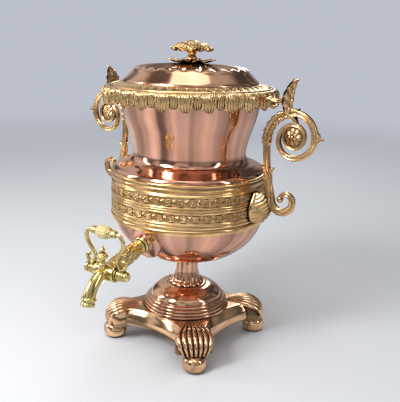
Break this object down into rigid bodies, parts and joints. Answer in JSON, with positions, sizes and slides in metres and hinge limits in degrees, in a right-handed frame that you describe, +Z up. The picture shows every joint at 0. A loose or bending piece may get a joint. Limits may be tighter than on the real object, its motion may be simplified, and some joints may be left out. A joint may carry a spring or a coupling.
{
  "type": "samovar",
  "caption": "Regency style tea urn: copper vase body on a square gadrooned plinth with ball feet, brass scroll handles, leaf rim, domed lid with flower finial and a plug tap.",
  "frame": {"origin": "on the urn's vertical axis at the level of the surface it stands on", "axes": "+Z up, +X to the right-hand scroll handle, -Y the tap's side; the tap is turned 5 degrees from -Y towards +X"},
  "size_m": [0.348, 0.2938, 0.3735],
  "materials": {
    "copper": "polished",
    "brass": "polished, dark in the recesses",
    "iron": "rough",
    "steel": "turned",
    "ivory": "satin",
    "seal": "matte"
  },
  "bodies": {
    "urn": {"ball_feet": "brass", "base_nut": "steel", "base_washer": "steel", "belly_band": "brass", "bowl_seal": "seal", "bracket_screws": "steel", "corner_castings": "brass", "foot_screws": "steel", "handle_bolts": "steel", "handle_left": "brass", "handle_right": "brass", "heater_sleeve": "copper", "leaf_bracket_left": "brass", "leaf_bracket_right": "brass", "leaf_skirt": "brass", "lower_bowl": "copper", "mouth_rim": "brass", "pedestal_dome": "copper", "plinth": "copper", "scroll_rosettes": "brass", "shell_plate_left": "brass", "shell_plate_right": "brass", "stem": "brass", "tap_body": "brass", "tap_escutcheon": "copper", "tap_finial": "brass", "tap_nut": "steel", "tap_seal": "seal", "tie_rod": "steel", "vessel_neck": "copper"},
    "lid": {"lid_dome": "copper", "lid_flange": "copper", "lid_border": "brass", "lid_rosette": "brass", "finial_stem": "brass", "finial_flower": "brass", "finial_stud": "steel", "finial_nut": "steel"},
    "tap_handle": {"tap_plug": "brass", "plug_washers": "brass", "lyre_arms": "brass", "grip_spindle": "steel", "grip_ferrules": "brass", "tap_grip": "ivory", "plug_cap_nut": "brass", "plug_knob": "brass"},
    "cover": {"sleeve_cover": "brass", "cover_knob": "brass"},
    "slug": {"iron_slug": "iron", "slug_eye": "iron"}
  },
  "joints": [
    {"name": "lid_lift", "type": "slide", "parent": "urn", "child": "lid", "axis": [0, 0, 1], "range_m": [0, 0.1]},
    {"name": "cover_lift", "type": "slide", "parent": "urn", "child": "cover", "axis": [0, 0, 1], "range_m": [0, 0.015]},
    {"name": "slug_lift", "type": "slide", "parent": "urn", "child": "slug", "axis": [0, 0, 1], "range_m": [0, 0.012]},
    {"name": "tap_valve", "type": "hinge", "parent": "urn", "child": "tap_handle", "pos_m": [0.01339, -0.15304, 0.13874], "axis": [0.9962, 0.0872, 0], "range_deg": [0, 90]}
  ]
}
